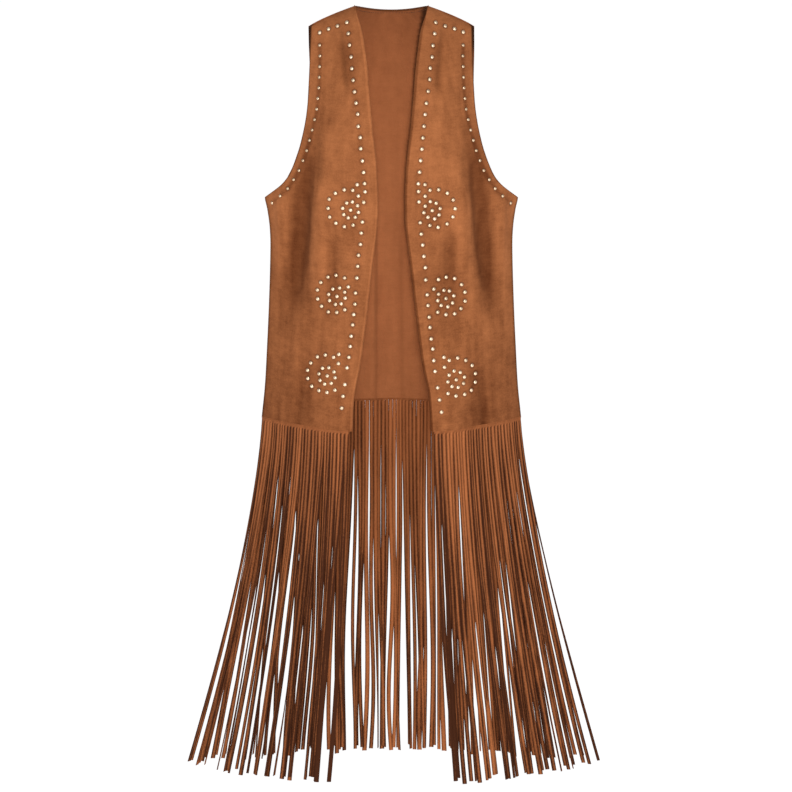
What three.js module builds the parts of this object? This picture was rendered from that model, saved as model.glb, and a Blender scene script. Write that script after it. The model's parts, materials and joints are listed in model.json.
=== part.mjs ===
// Sleeveless western vest in brown imitation suede, open at the front, with a long fringe at the hem.
// It is filled out as if it were worn: millimetres, +Z up, the front faces -Y, the wearer's left is +X.
// The origin lies midway between the two points where the shoulder seams meet the neck.
import * as THREE from 'three';

// Driving sizes of the cloth
const wall = 1.6;
const seamGap = 0.3;
const hemLevel = -564;
const underarmLevel = -261;
const neckHalfWidth = 49;
const shoulderDrop = 27.5;
const backNeckDepth = 58;
const backNeckDrop = 15;
const neckPower = 0.75;
const shoulderBlend = 160;
const shoulderRise = 200;
const risePower = 0.54;
const sectionPower = 1.8;
const crowdPower = 4;
const crowdLimit = 0.75;
const foldGrowth = 3;
const foldFade = 2;
const foldFreeDrop = 40;
const foldSideShare = 4;

// Driving sizes of the fringe
const backingHeight = 6;
const backingInset = 1.2;
const strandLength = 487;
const strandWidth = 4.3;
const strandThickness = 1.2;
const strandPitch = 5.2;
const endRing = { halfWidth: 277, front: 84, back: 118, opening: 84 };
const fanShare = { front: 0.92, back: 0.8 };
const fanPower = 4;
const spreadPower = 1.3;
const lockSpacing = 5.5;
const lockSmallest = 3;
const lockSizes = 5;
const strandSway = 5;
const strandShortest = 0.985;
const hemSteps = 240;
const strandStops = [0.36, 0.7, 1];

// The body that fills the vest: half width at the side, and depth to the front and to the back
const bodySections = [
  { z: 0, halfWidth: 127, front: 80, back: 92 },
  { z: -60, halfWidth: 129, front: 88, back: 102 },
  { z: -126, halfWidth: 138, front: 95, back: 112 },
  { z: -172, halfWidth: 152, front: 99, back: 118 },
  { z: -206, halfWidth: 162, front: 101, back: 120 },
  { z: -235, halfWidth: 169, front: 101, back: 120 },
  { z: -261, halfWidth: 170.4, front: 100, back: 119 },
  { z: -277, halfWidth: 167.2, front: 98, back: 118 },
  { z: -301, halfWidth: 164, front: 96, back: 116 },
  { z: -328, halfWidth: 163, front: 94, back: 115 },
  { z: -402, halfWidth: 165, front: 92, back: 116 },
  { z: -474, halfWidth: 168.3, front: 96, back: 122 },
  { z: -521, halfWidth: 171, front: 99, back: 126 },
  { z: -564, halfWidth: 175.4, front: 102, back: 130 },
];

// Edge of the armhole from the shoulder tip down to the underarm
const armhole = [
  { z: -27.5, front: 107.8, back: 111.2 },
  { z: -62, front: 109.2, back: 111.2 },
  { z: -101, front: 110.8, back: 110 },
  { z: -129, front: 112.6, back: 110.4 },
  { z: -154, front: 116.3, back: 112.8 },
  { z: -175.5, front: 121.4, back: 116 },
  { z: -191, front: 125.8, back: 119.3 },
  { z: -213, front: 133.4, back: 126 },
  { z: -228, front: 140.4, back: 132 },
  { z: -240, front: 149, back: 138.5 },
  { z: -251.5, front: 161, back: 146.5 },
  { z: -258.5, front: 168, back: 160.5 },
  { z: -261, front: 170.4, back: 170.4 },
];

// Front edge from the neck to the hem: half of the opening between the two fronts
const frontEdge = [
  { z: 0, x: 49 },
  { z: -34, x: 42.3 },
  { z: -70, x: 37.1 },
  { z: -107, x: 33.8 },
  { z: -157, x: 28.8 },
  { z: -178, x: 26 },
  { z: -210, x: 23.1 },
  { z: -252, x: 21.6 },
  { z: -288, x: 23.1 },
  { z: -335, x: 28.9 },
  { z: -383, x: 34.1 },
  { z: -429, x: 39.8 },
  { z: -473, x: 45.4 },
  { z: -513, x: 53.2 },
  { z: -564, x: 56.8 },
];

// Folds: place across at the top and the bottom, heights between which they run,
// half width, and depth, which is less than 0 for a trough
const leftFolds = [
  { topX: 107, lowX: 137, top: -150, low: -445, half: 12, depth: -9 },
  { topX: 92, lowX: 101, top: -200, low: -410, half: 13, depth: 4 },
  { topX: 146, lowX: 151, top: -225, low: -400, half: 10, depth: 4 },
  { topX: 79, lowX: 84, top: -270, low: -415, half: 11, depth: -3.5 },
  { topX: 114, lowX: 130, top: -455, low: -600, half: 11, depth: -6 },
  { topX: 64, lowX: 60, top: -22, low: -125, half: 9, depth: -3 },
  { topX: 70, lowX: 76, top: -420, low: -600, half: 18, depth: 4 },
];
const rightFolds = [
  { topX: 108, lowX: 135, top: -154, low: -455, half: 12, depth: -9 },
  { topX: 93, lowX: 99, top: -205, low: -420, half: 13, depth: 4 },
  { topX: 147, lowX: 152, top: -222, low: -410, half: 10, depth: 4 },
  { topX: 77, lowX: 84, top: -276, low: -430, half: 11, depth: -3.5 },
  { topX: 116, lowX: 128, top: -448, low: -600, half: 11, depth: -5 },
  { topX: 65, lowX: 60, top: -26, low: -118, half: 9, depth: -3 },
  { topX: 69, lowX: 77, top: -430, low: -600, half: 18, depth: 4 },
];
const backFolds = [
  { topX: -22, lowX: -29, top: -300, low: -660, half: 12, depth: -6 },
  { topX: 21, lowX: 30, top: -320, low: -660, half: 12, depth: -5 },
  { topX: 82, lowX: 98, top: -215, low: -540, half: 17, depth: -7 },
  { topX: -86, lowX: -100, top: -200, low: -555, half: 17, depth: -7 },
  { topX: 122, lowX: 134, top: -245, low: -490, half: 14, depth: 4 },
  { topX: -124, lowX: -135, top: -250, low: -470, half: 14, depth: 4 },
  { topX: 58, lowX: 64, top: -380, low: -660, half: 17, depth: 4 },
  { topX: -60, lowX: -68, top: -360, low: -660, half: 17, depth: 4 },
];

// Heights of the rows below the neck point, closer where the cloth turns
const frontRows = [
  0, 4, 11, 21, 35, 54, 78, 104, 131, 156, 180, 201, 218, 231, 242, 251, 257, 261,
  276, 297, 323, 352, 382, 412, 442, 472, 500, 526, 547, 564,
];
const backRows = [
  0, 5, 14, 28, 46, 70, 100, 132, 161, 186, 207, 225, 239, 250, 257, 261,
  278, 303, 336, 370, 406, 442, 478, 512, 541, 564,
];
const frontColumns = 16;
const neckColumns = 5;
const shoulderColumns = 8;

const suede = { body: 0x9e603a, back: 0x9b5d38, fringe: 0x7d4526 };

function mix(from, to, share) {
  return from + (to - from) * share;
}

function smoothStep(value) {
  const share = Math.min(1, Math.max(0, value));
  return share * share * (3 - 2 * share);
}

// Reads one column of a table at a height, with a smooth cubic between its rows
function readTable(table, column, z) {
  const last = table.length - 1;
  if (z >= table[0].z) return table[0][column];
  if (z <= table[last].z) return table[last][column];
  const upper = table.findIndex((row) => row.z <= z) - 1;
  const slope = (at) => {
    const above = table[Math.max(0, at - 1)];
    const below = table[Math.min(last, at + 1)];
    return (below[column] - above[column]) / (below.z - above.z);
  };
  const start = table[upper];
  const end = table[upper + 1];
  const span = end.z - start.z;
  const share = (z - start.z) / span;
  const square = share * share;
  const cube = square * share;
  return start[column] * (2 * cube - 3 * square + 1)
    + slope(upper) * span * (cube - 2 * square + share)
    + end[column] * (3 * square - 2 * cube)
    + slope(upper + 1) * span * (cube - square);
}

function sideEdge(column, z) {
  const edge = z > underarmLevel ? readTable(armhole, column, z) : readTable(bodySections, 'halfWidth', z);
  return Math.min(edge, readTable(bodySections, 'halfWidth', z));
}

// How far the folds move the cloth out at one place
function foldHeight(folds, x, z) {
  let height = 0;
  for (const fold of folds) {
    const along = (fold.top - z) / (fold.top - fold.low);
    if (along <= 0 || along >= 1) continue;
    const across = (x - mix(fold.topX, fold.lowX, along)) / fold.half;
    const grown = smoothStep(along * foldGrowth) * smoothStep((1 - along) * foldFade);
    height += fold.depth * grown * Math.exp(-across * across);
  }
  return height;
}

// Spreads the columns between two angles; low on the body only those near the armhole crowd together
function columnAngle(inner, outer, t, row) {
  const side = Math.PI / 2;
  const crowding = (side - outer) / (side - inner);
  const bend = Math.min(crowdPower, crowdLimit / Math.max(crowding, 1e-6));
  const crowded = inner + (side - inner) * (t - crowding * t ** bend);
  return mix(mix(inner, outer, t), crowded, smoothStep(row / shoulderBlend));
}

// A point of the outer face, from the angle across the body section and the row's height
function clothPoint(panel, angle, z, top) {
  const halfWidth = readTable(bodySections, 'halfWidth', z);
  const depth = readTable(bodySections, panel.depthColumn, z);
  const x = halfWidth * Math.sin(angle);
  const round = Math.max(0, Math.cos(angle)) ** sectionPower;
  const reach = shoulderRise * ((2 / Math.PI) * Math.asin(top.depth / depth)) ** (1 / risePower);
  const rise = Math.sin((Math.PI / 2) * Math.min(1, (top.z - z + reach) / shoulderRise) ** risePower);
  const y = panel.facing * depth * round * rise;
  const fold = foldHeight(panel.folds, x, z);
  const out = new THREE.Vector2(x / halfWidth ** 2, y / depth ** 2).normalize();
  const free = smoothStep((top.z - z) / foldFreeDrop) * smoothStep(round * foldSideShare);
  return new THREE.Vector3(x + out.x * fold * free, y + out.y * fold * free, z);
}

// One front: t runs from the front edge (0) to the armhole and side seam (1)
function frontPoint(panel, t, row) {
  const top = { z: -shoulderDrop * t, depth: 0 };
  const z = -row + top.z * (1 - smoothStep(row / shoulderBlend));
  const halfWidth = readTable(bodySections, 'halfWidth', z);
  const inner = Math.asin(readTable(frontEdge, 'x', z) / halfWidth);
  const outer = Math.asin(sideEdge('front', z) / halfWidth);
  return clothPoint(panel, columnAngle(inner, outer, t, row), z, top);
}

// The back: t runs from the right side seam (-1) over the centre (0) to the left one (1)
function backPoint(panel, t, row) {
  const neckShare = neckColumns / (neckColumns + shoulderColumns);
  const across = Math.abs(t);
  const inNeck = Math.min(1, across / neckShare);
  const onShoulder = Math.max(0, (across - neckShare) / (1 - neckShare));
  const neckRound = 1 - inNeck * inNeck;
  const top = {
    z: -shoulderDrop * onShoulder - backNeckDrop * neckRound,
    depth: backNeckDepth * neckRound ** neckPower,
  };
  const z = -row + top.z * (1 - smoothStep(row / shoulderBlend));
  const halfWidth = readTable(bodySections, 'halfWidth', z);
  const outer = Math.asin(sideEdge('back', z) / halfWidth);
  const lowNeck = (Math.PI / 2) * neckShare;
  const neck = mix(Math.asin(neckHalfWidth / halfWidth), lowNeck, smoothStep(row / shoulderBlend));
  const angle = across < neckShare ? neck * inNeck : columnAngle(neck, outer, onShoulder, row);
  return clothPoint(panel, Math.sign(t) * angle, z, top);
}

// Outer points of a panel, row by row from the shoulder to the hem, kept half a gap off each seam
function panelGrid(panel) {
  const lastColumn = panel.steps.length - 1;
  return panel.rows.map((row, rowIndex) => panel.steps.map((t, column) => {
    const point = panel.point(panel, t, row);
    const onShoulderSeam = rowIndex === 0 && Math.abs(point.x) > neckHalfWidth - 1;
    const onSideSeam = panel.sideColumns(column, lastColumn) && row >= -underarmLevel;
    if (onShoulderSeam || onSideSeam) point.y += panel.facing * seamGap / 2;
    return { point, flatNormal: onShoulderSeam || onSideSeam };
  }));
}

// Outward directions of a grid of points; at a seam both sides share a direction with no Y part
function gridNormals(grid, turn) {
  const lastRow = grid.length - 1;
  const lastColumn = grid[0].length - 1;
  return grid.map((line, row) => line.map((cell, column) => {
    const left = line[Math.max(0, column - 1)].point;
    const right = line[Math.min(lastColumn, column + 1)].point;
    const above = grid[Math.max(0, row - 1)][column].point;
    const below = grid[Math.min(lastRow, row + 1)][column].point;
    const along = new THREE.Vector3().subVectors(right, left);
    const down = new THREE.Vector3().subVectors(below, above);
    const normal = new THREE.Vector3().crossVectors(along, down).multiplyScalar(turn);
    if (cell.flatNormal) normal.y = 0;
    return normal.normalize();
  }));
}

// Builds one closed solid from a list of points and a list of faces with 3 or 4 corners
function solidFrom(points, faces) {
  const positions = points.flatMap((point) => [point.x, point.y, point.z]);
  const triangles = faces.flatMap(([a, b, c, d]) => (d === undefined ? [a, b, c] : [a, b, c, a, c, d]));
  const geometry = new THREE.BufferGeometry();
  geometry.setAttribute('position', new THREE.Float32BufferAttribute(positions, 3));
  geometry.setIndex(triangles);
  geometry.computeVertexNormals();
  return geometry;
}

// Thickens a grid of outer points into a wall with closed edges
function wallSolid(grid, turn) {
  const normals = gridNormals(grid, turn);
  const columns = grid[0].length;
  const outer = grid.flat().map((cell) => cell.point);
  const inner = outer.map((point, index) => {
    const normal = normals[Math.floor(index / columns)][index % columns];
    return point.clone().addScaledVector(normal, -wall);
  });
  const count = outer.length;
  const faces = [];
  const addFace = (...corners) => faces.push(turn > 0 ? corners : corners.reverse());
  for (let row = 0; row < grid.length - 1; row += 1) {
    for (let column = 0; column < columns - 1; column += 1) {
      const a = row * columns + column;
      const b = a + columns;
      addFace(a, a + 1, b + 1, b);
      addFace(count + a, count + b, count + b + 1, count + a + 1);
    }
    const first = row * columns;
    const last = first + columns - 1;
    addFace(first, first + columns, count + first + columns, count + first);
    addFace(last, count + last, count + last + columns, last + columns);
  }
  const lowest = (grid.length - 1) * columns;
  for (let column = 0; column < columns - 1; column += 1) {
    addFace(column, count + column, count + column + 1, column + 1);
    addFace(lowest + column, lowest + column + 1, count + lowest + column + 1, count + lowest + column);
  }
  return solidFrom([...outer, ...inner], faces);
}

function evenSteps(from, to, count) {
  return Array.from({ length: count + 1 }, (unused, index) => mix(from, to, index / count));
}

// A line through points that can be read by the distance along it
function measuredLine(points) {
  const lengths = [0];
  for (let index = 1; index < points.length; index += 1) {
    lengths.push(lengths[index - 1] + points[index].distanceTo(points[index - 1]));
  }
  const total = lengths[lengths.length - 1];
  const at = (distance) => {
    const held = Math.min(total, Math.max(0, distance));
    const next = Math.max(1, lengths.findIndex((length) => length >= held));
    const share = (held - lengths[next - 1]) / (lengths[next] - lengths[next - 1]);
    return new THREE.Vector3().lerpVectors(points[next - 1], points[next], share);
  };
  return { total, at };
}

// The hem of a panel, and the wider oval on which the ends of its strands hang
function hemLine(panel) {
  const steps = evenSteps(panel.steps[0], panel.steps[panel.steps.length - 1], hemSteps);
  return measuredLine(steps.map((t) => panel.point(panel, t, -hemLevel)));
}

function strandEndLine(panel) {
  const opening = Math.asin(endRing.opening / endRing.halfWidth);
  const first = panel.facing < 0 ? opening : -Math.PI / 2;
  return measuredLine(evenSteps(first, Math.PI / 2, hemSteps).map((angle) => {
    const depth = endRing[panel.depthColumn] * Math.max(0, Math.cos(angle)) ** sectionPower;
    return new THREE.Vector3(endRing.halfWidth * Math.sin(angle), panel.facing * depth, 0);
  }));
}

// Where along the end line a strand hangs: evenly near the middle, and fanned out near the sides
function fanned(panel, share) {
  const even = fanShare[panel.depthColumn];
  const spread = (value) => value * (even + (1 - even) * Math.abs(value) ** fanPower);
  return panel.facing < 0 ? spread(share) : (1 + spread(2 * share - 1)) / 2;
}

// The same row of numbers from 0 to 1 each time, from a whole-number rule
function randomRow(seed) {
  let state = seed;
  return () => {
    state = (state * 16807) % 2147483647;
    return state / 2147483647;
  };
}

// Splits a count of strands into hanging locks and says how far each strand is from its lock's middle
function lockOffsets(count, random) {
  const offsets = [];
  while (offsets.length < count) {
    const size = Math.min(count - offsets.length, lockSmallest + Math.floor(random() * lockSizes));
    for (let index = 0; index < size; index += 1) offsets.push((size - 1) / 2 - index);
  }
  return offsets;
}

// A fringe: a narrow backing under the hem with the strands growing from it
function fringeSolid(panel, seed) {
  const random = randomRow(seed);
  const hem = hemLine(panel);
  const ends = strandEndLine(panel);
  const span = hem.total - 2 * backingInset - strandWidth;
  const count = Math.floor(span / strandPitch) + 1;
  const pitch = span / (count - 1);
  const offsets = lockOffsets(count, random);
  const points = [];
  const faces = [];
  const turn = panel.turn;
  const addFace = (...corners) => faces.push(turn > 0 ? corners : corners.reverse());
  const topZ = hemLevel - seamGap;
  const lowZ = topZ - backingHeight;

  // Each upright edge of the backing has 4 points: outer top, outer low, inner top, inner low
  const edges = [];
  for (let strand = 0; strand < count; strand += 1) {
    const start = backingInset + strand * pitch;
    edges.push(start, start + strandWidth);
  }
  const frames = edges.map((distance) => {
    const place = hem.at(distance);
    const before = hem.at(Math.max(0, distance - 1));
    const after = hem.at(Math.min(hem.total, distance + 1));
    const along = after.sub(before).setZ(0).normalize();
    const inward = new THREE.Vector3(along.y, -along.x, 0).multiplyScalar(turn);
    return { place, along, inward };
  });
  for (const { place, inward } of frames) {
    const innerPlace = place.clone().addScaledVector(inward, strandThickness);
    points.push(place.clone().setZ(topZ), place.clone().setZ(lowZ));
    points.push(innerPlace.clone().setZ(topZ), innerPlace.clone().setZ(lowZ));
  }
  for (let edge = 0; edge < edges.length - 1; edge += 1) {
    const a = edge * 4;
    const b = a + 4;
    const isStrand = edge % 2 === 0;
    addFace(a, b, b + 1, a + 1);
    addFace(a + 2, a + 3, b + 3, b + 2);
    addFace(a, a + 2, b + 2, b);
    if (!isStrand) addFace(a + 1, b + 1, b + 3, a + 3);
  }
  const lastEdge = (edges.length - 1) * 4;
  addFace(0, 1, 3, 2);
  addFace(lastEdge, lastEdge + 2, lastEdge + 3, lastEdge + 1);

  // Strands: each hangs from two neighbouring edges of the backing, out of the body's middle
  for (let strand = 0; strand < count; strand += 1) {
    const from = frames[strand * 2];
    const to = frames[strand * 2 + 1];
    const root = from.place.clone().add(to.place).multiplyScalar(0.5);
    const share = (edges[strand * 2] + strandWidth / 2) / hem.total;
    const step = pitch / hem.total;
    const endPitch = (fanned(panel, share + step / 2) - fanned(panel, share - step / 2)) * ends.total;
    const lock = offsets[strand] * Math.max(0, endPitch - lockSpacing);
    const end = ends.at(fanned(panel, share) * ends.total + lock);
    const sway = (random() - 0.5) * 2 * strandSway;
    const length = strandLength * mix(strandShortest, 1, random());
    const endX = end.x - root.x - from.inward.x * sway;
    const endY = end.y - root.y - from.inward.y * sway;
    const drop = Math.sqrt(length * length - endX * endX - endY * endY);
    let ring = [strand * 8 + 1, strand * 8 + 5, strand * 8 + 7, strand * 8 + 3];
    const roots = ring.map((corner) => points[corner].clone());
    for (const stop of strandStops) {
      const out = stop ** spreadPower;
      const shift = new THREE.Vector3(endX * out, endY * out, -drop * stop);
      const nextRing = roots.map((corner) => {
        points.push(corner.clone().add(shift));
        return points.length - 1;
      });
      for (let side = 0; side < 4; side += 1) {
        const next = (side + 1) % 4;
        addFace(ring[side], ring[next], nextRing[next], nextRing[side]);
      }
      ring = nextRing;
    }
    addFace(ring[0], ring[1], ring[2], ring[3]);
  }
  return solidFrom(points, faces);
}

function clothMesh(name, geometry, color) {
  const material = new THREE.MeshStandardMaterial({ color, roughness: 0.92, metalness: 0 });
  const mesh = new THREE.Mesh(geometry, material);
  mesh.name = name;
  return mesh;
}

// The same piece on the wearer's right: x is turned over and each triangle's corners change order
function mirrored(geometry) {
  const copy = geometry.clone();
  copy.scale(-1, 1, 1);
  const index = copy.getIndex();
  for (let first = 0; first < index.count; first += 3) {
    const second = index.getX(first + 1);
    index.setX(first + 1, index.getX(first + 2));
    index.setX(first + 2, second);
  }
  copy.computeVertexNormals();
  return copy;
}

function frontPanel(folds) {
  return {
    point: frontPoint,
    depthColumn: 'front',
    facing: -1,
    turn: -1,
    folds,
    rows: frontRows,
    steps: evenSteps(0, 1, frontColumns),
    sideColumns: (column, last) => column === last,
  };
}

const backPanel = {
  point: backPoint,
  depthColumn: 'back',
  facing: 1,
  turn: 1,
  folds: backFolds,
  rows: backRows,
  steps: evenSteps(-1, 1, 2 * (neckColumns + shoulderColumns)),
  sideColumns: (column, last) => column === 0 || column === last,
};

const vest = new THREE.Group();
vest.name = 'western_vest';

const fronts = [
  { side: 'left', panel: frontPanel(leftFolds), seed: 31, place: (geometry) => geometry },
  { side: 'right', panel: frontPanel(rightFolds), seed: 57, place: mirrored },
];
for (const { side, panel, seed, place } of fronts) {
  vest.add(clothMesh(`front_${side}`, place(wallSolid(panelGrid(panel), panel.turn)), suede.body));
  vest.add(clothMesh(`fringe_front_${side}`, place(fringeSolid(panel, seed)), suede.fringe));
}
vest.add(clothMesh('back', wallSolid(panelGrid(backPanel), backPanel.turn), suede.back));
vest.add(clothMesh('fringe_back', fringeSolid(backPanel, 83), suede.fringe));

export default vest;
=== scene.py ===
# The dressed model of a fringed western vest, in metres: +Z up, the front towards -Y,
# the wearer's left at +X, and the origin between the two neck points of the shoulders.
import json
import math
import random
from collections import namedtuple
from types import SimpleNamespace

import bpy
from mathutils import Matrix, Vector, noise
from mathutils.bvhtree import BVHTree
from mathutils.kdtree import KDTree

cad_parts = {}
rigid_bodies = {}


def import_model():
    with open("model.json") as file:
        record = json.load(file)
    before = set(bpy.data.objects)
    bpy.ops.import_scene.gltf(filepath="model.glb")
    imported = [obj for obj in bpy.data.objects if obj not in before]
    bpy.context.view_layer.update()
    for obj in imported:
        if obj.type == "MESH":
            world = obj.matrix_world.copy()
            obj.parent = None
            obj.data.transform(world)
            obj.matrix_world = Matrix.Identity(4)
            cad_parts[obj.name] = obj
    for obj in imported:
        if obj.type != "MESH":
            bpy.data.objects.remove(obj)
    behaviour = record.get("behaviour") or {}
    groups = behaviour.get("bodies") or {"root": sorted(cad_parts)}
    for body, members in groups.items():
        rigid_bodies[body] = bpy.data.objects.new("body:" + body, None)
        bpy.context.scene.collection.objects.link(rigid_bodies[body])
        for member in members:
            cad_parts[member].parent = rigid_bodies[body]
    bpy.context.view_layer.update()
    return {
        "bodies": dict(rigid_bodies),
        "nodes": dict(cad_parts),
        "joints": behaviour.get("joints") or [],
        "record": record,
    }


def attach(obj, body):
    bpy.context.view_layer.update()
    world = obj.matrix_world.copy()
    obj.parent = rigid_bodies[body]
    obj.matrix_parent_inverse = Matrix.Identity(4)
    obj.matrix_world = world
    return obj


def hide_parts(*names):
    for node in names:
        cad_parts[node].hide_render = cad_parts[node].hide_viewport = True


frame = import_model()

# The back: one whole panel of imitation suede, cut with a round neck and two armholes, which hangs
# over the shoulder blades and falls in soft upright folds. The panel's shape comes from sections of
# the body that it is filled out by, and a wall of the cloth's own thickness is laid inside it.
wall = 0.0016
hem_drop = 0.564
underarm = -0.261
neck_half_width = 0.049
neck_depth = 0.058
neck_drop = 0.015
neck_power = 0.75
shoulder_drop = 0.0275
shoulder_blend = 0.16
shoulder_rise = 0.2
rise_power = 0.54
section_power = 1.8
crowd_power = 4
crowd_limit = 0.75
least_crowding = 1e-6
neck_share = 5 / 13
row_crowding = 1.35
fold_growth = 3
fold_fading = 2
free_below = 0.04
free_inside = 4
edge_round = 0.35
cloth_smooth_angle = 50
back_seed = 4.1


def table_of(names, *rows):
    """Rows of values whose columns have names."""
    Row = namedtuple("Row", names)
    return [Row(*row) for row in rows]


body = table_of(
    "z half_width front back",
    (0.000, 0.1270, 0.080, 0.092),
    (-0.060, 0.1290, 0.088, 0.102),
    (-0.126, 0.1380, 0.095, 0.112),
    (-0.172, 0.1520, 0.099, 0.118),
    (-0.206, 0.1620, 0.101, 0.120),
    (-0.235, 0.1690, 0.101, 0.120),
    (-0.261, 0.1704, 0.100, 0.119),
    (-0.277, 0.1672, 0.098, 0.118),
    (-0.301, 0.1640, 0.096, 0.116),
    (-0.328, 0.1630, 0.094, 0.115),
    (-0.402, 0.1650, 0.092, 0.116),
    (-0.474, 0.1683, 0.096, 0.122),
    (-0.521, 0.1710, 0.099, 0.126),
    (-0.564, 0.1754, 0.102, 0.130),
)

armhole = table_of(
    "z front back",
    (-0.0275, 0.1078, 0.1112),
    (-0.0620, 0.1092, 0.1112),
    (-0.1010, 0.1108, 0.1100),
    (-0.1290, 0.1126, 0.1104),
    (-0.1540, 0.1163, 0.1128),
    (-0.1755, 0.1214, 0.1160),
    (-0.1910, 0.1258, 0.1193),
    (-0.2130, 0.1334, 0.1260),
    (-0.2280, 0.1404, 0.1320),
    (-0.2400, 0.1490, 0.1385),
    (-0.2515, 0.1610, 0.1465),
    (-0.2585, 0.1680, 0.1605),
    (-0.2610, 0.1704, 0.1704),
)

fold_columns = "top_x low_x top low half depth"
back_folds = table_of(
    fold_columns,
    (-0.022, -0.029, -0.300, -0.660, 0.012, -0.006),
    (0.021, 0.030, -0.320, -0.660, 0.012, -0.005),
    (0.082, 0.098, -0.215, -0.540, 0.017, -0.007),
    (-0.086, -0.100, -0.200, -0.555, 0.017, -0.007),
    (0.122, 0.134, -0.245, -0.490, 0.014, 0.004),
    (-0.124, -0.135, -0.250, -0.470, 0.014, 0.004),
    (0.058, 0.064, -0.380, -0.660, 0.017, 0.004),
    (-0.060, -0.068, -0.360, -0.660, 0.017, 0.004),
)
soft_waves = table_of("across upright seed height", (24, 7, 0, 0.0016), (62, 17, 9, 0.0006))


def mix(start, end, share):
    return start + (end - start) * share


def smooth_step(value):
    share = min(1.0, max(0.0, value))
    return share * share * (3 - 2 * share)


def read(table, column, z):
    """One column of a table whose first column is a height, with a smooth cubic between its rows."""
    if z >= table[0][0]:
        return getattr(table[0], column)
    if z <= table[-1][0]:
        return getattr(table[-1], column)
    upper = next(index for index, row in enumerate(table) if row[0] <= z) - 1

    def slope(at):
        above = table[max(0, at - 1)]
        below = table[min(len(table) - 1, at + 1)]
        return (getattr(below, column) - getattr(above, column)) / (below[0] - above[0])

    start, end = table[upper], table[upper + 1]
    span = end[0] - start[0]
    share = (z - start[0]) / span
    square, cube = share ** 2, share ** 3
    return (
        getattr(start, column) * (2 * cube - 3 * square + 1)
        + slope(upper) * span * (cube - 2 * square + share)
        + getattr(end, column) * (3 * square - 2 * cube)
        + slope(upper + 1) * span * (cube - square)
    )


def fold_share(fold, x, z, growth, fading):
    """How strongly a fold or a crease shows at a place, from 0 to 1."""
    along = (fold.top - z) / (fold.top - fold.low)
    across = (x - mix(fold.top_x, fold.low_x, along)) / fold.half
    if not 0 < along < 1:
        return 0.0
    return smooth_step(along * growth) * smooth_step((1 - along) * fading) * math.exp(-across * across)


def fold_height(folds, x, z):
    """How far the folds move the cloth out; a trough is less than 0."""
    return sum(fold.depth * fold_share(fold, x, z, fold_growth, fold_fading) for fold in folds)


def wave_height(x, z, seed):
    """The small unevenness of hanging cloth, longer upright than across."""
    height = 0.0
    for wave in soft_waves:
        place = Vector((x * wave.across, seed + wave.seed, z * wave.upright))
        height += wave.height * noise.noise(place)
    return height


def column_angle(inner, outer, t, row):
    """Spreads the columns; low on the body only those near the armhole crowd together."""
    side = math.pi / 2
    crowding = (side - outer) / (side - inner)
    bend = min(crowd_power, crowd_limit / max(crowding, least_crowding))
    crowded = inner + (side - inner) * (t - crowding * t ** bend)
    return mix(mix(inner, outer, t), crowded, smooth_step(row / shoulder_blend))


def cloth_point(facing, column, folds, seed, angle, z, top_z, top_depth):
    """A point of the outer face and how far its folds and waves move it."""
    half_width = read(body, "half_width", z)
    depth = read(body, column, z)
    x = half_width * math.sin(angle)
    rounded = max(0.0, math.cos(angle)) ** section_power
    reach = shoulder_rise * (2 / math.pi * math.asin(top_depth / depth)) ** (1 / rise_power)
    drop_share = min(1.0, (top_z - z + reach) / shoulder_rise)
    y = facing * depth * rounded * math.sin(math.pi / 2 * drop_share ** rise_power)
    fold = fold_height(folds, x, z)
    free = smooth_step((top_z - z) / free_below) * smooth_step(rounded * free_inside)
    moved = (fold + wave_height(x, z, seed)) * free
    out = Vector((x / half_width ** 2, y / depth ** 2)).normalized() * moved
    return Vector((x + out.x, y + out.y, z)), moved


def back_point(t, row):
    across = abs(t)
    in_neck = min(1.0, across / neck_share)
    on_shoulder = max(0.0, (across - neck_share) / (1 - neck_share))
    neck_round = 1 - in_neck ** 2
    top_z = -shoulder_drop * on_shoulder - neck_drop * neck_round
    top_depth = neck_depth * neck_round ** neck_power
    low = smooth_step(row / shoulder_blend)
    z = -row + top_z * (1 - low)
    half_width = read(body, "half_width", z)
    edge = read(armhole, "back", z) if z > underarm else half_width
    outer = math.asin(min(1.0, edge / half_width))
    neck = mix(math.asin(neck_half_width / half_width), math.pi / 2 * neck_share, low)
    angle = neck * in_neck if across < neck_share else column_angle(neck, outer, on_shoulder, row)
    return cloth_point(1, "back", back_folds, back_seed, math.copysign(angle, t), z, top_z, top_depth)


def even(start, end, count):
    return [mix(start, end, index / count) for index in range(count + 1)]


def row_heights(count):
    """Rows of a panel, close together over the shoulder."""
    return [hem_drop * share ** row_crowding for share in even(0, 1, count)]


def directions(grid, turn, seam):
    """The outward direction at each point of a grid; on a seam both panels share one with no Y part."""
    normals = []
    for row, line in enumerate(grid):
        above = grid[max(0, row - 1)]
        below = grid[min(len(grid) - 1, row + 1)]
        for column in range(len(line)):
            along = line[min(len(line) - 1, column + 1)] - line[max(0, column - 1)]
            normal = along.cross(below[column] - above[column]) * turn
            if seam(row, column):
                normal.y = 0
            normals.append(normal.normalized())
    return normals


def set_values(mesh, name, values):
    """Keeps one number for each corner point under a name that the finish can read."""
    layer = mesh.attributes.new(name, "FLOAT", "POINT")
    layer.data.foreach_set("value", values)


def linked(name, data):
    """A new object in the scene."""
    made = bpy.data.objects.new(name, data)
    bpy.context.collection.objects.link(made)
    return made


def new_piece(name, points, faces, finish):
    mesh = bpy.data.meshes.new(name)
    mesh.from_pydata(points, [], faces)
    mesh.materials.append(finish)
    return linked(name, mesh)


def soften(piece, degrees):
    bpy.ops.object.select_all(action="DESELECT")
    piece.select_set(True)
    bpy.context.view_layer.objects.active = piece
    bpy.ops.object.shade_smooth_by_angle(angle=math.radians(degrees))
    piece.select_set(False)


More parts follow.
